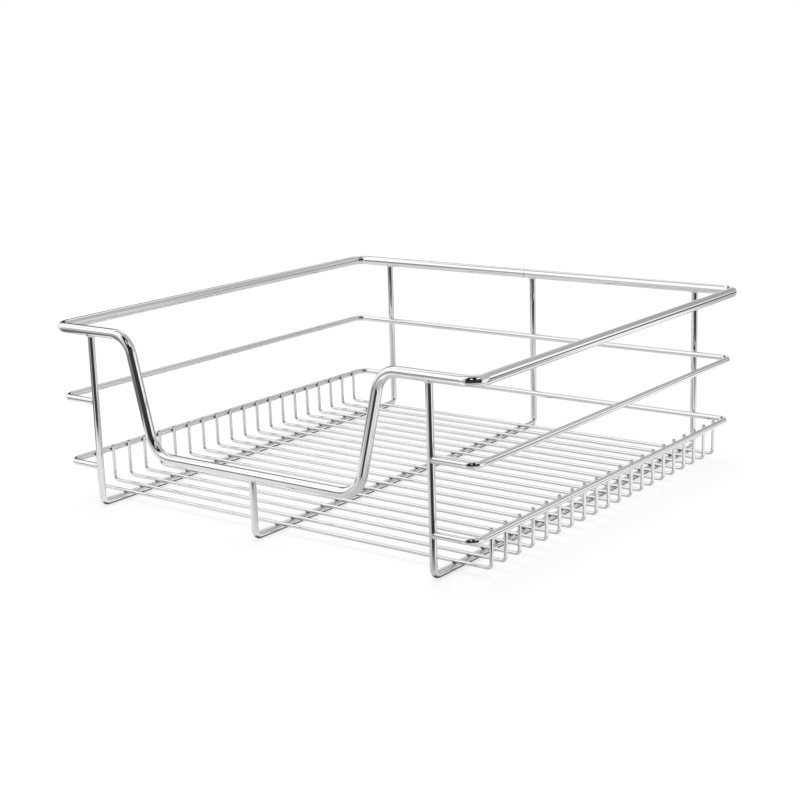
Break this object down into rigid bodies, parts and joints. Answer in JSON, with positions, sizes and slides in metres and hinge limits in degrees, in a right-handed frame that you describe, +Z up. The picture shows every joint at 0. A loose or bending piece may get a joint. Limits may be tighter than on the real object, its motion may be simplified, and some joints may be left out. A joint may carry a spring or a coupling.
{
  "type": "pull-out cabinet basket",
  "caption": "Square chromed wire basket for a cabinet runner, with a thick rim that dips at the front, side rails, cross-wire floor and upturned comb sides.",
  "frame": {"origin": "on the resting plane, under the middle of the basket", "axes": "+X to the basket's right seen from its front, +Y to the back, +Z up; the dipped front faces -Y"},
  "size_m": [0.453, 0.439, 0.1625],
  "materials": {
    "rim_wire": "bright nickel-chrome plate on polished steel wire",
    "rail_wire": "bright nickel-chrome plate on drawn steel wire",
    "stringer_wire": "bright nickel-chrome plate on drawn steel wire",
    "floor_wire": "bright nickel-chrome plate on thin drawn steel wire"
  },
  "bodies": {
    "root": {"top_rim": "rim_wire", "mid_rail": "rail_wire", "lower_rail": "rail_wire", "left_stringer": "stringer_wire", "middle_stringer": "stringer_wire", "right_stringer": "stringer_wire", "floor_wire_01": "floor_wire", "floor_wire_02": "floor_wire", "floor_wire_03": "floor_wire", "floor_wire_04": "floor_wire", "floor_wire_05": "floor_wire", "floor_wire_06": "floor_wire", "floor_wire_07": "floor_wire", "floor_wire_08": "floor_wire", "floor_wire_09": "floor_wire", "floor_wire_10": "floor_wire", "floor_wire_11": "floor_wire", "floor_wire_12": "floor_wire", "floor_wire_13": "floor_wire", "floor_wire_14": "floor_wire", "floor_wire_15": "floor_wire", "floor_wire_16": "floor_wire", "floor_wire_17": "floor_wire", "floor_wire_18": "floor_wire", "floor_wire_19": "floor_wire", "floor_wire_20": "floor_wire"}
  },
  "joints": []
}
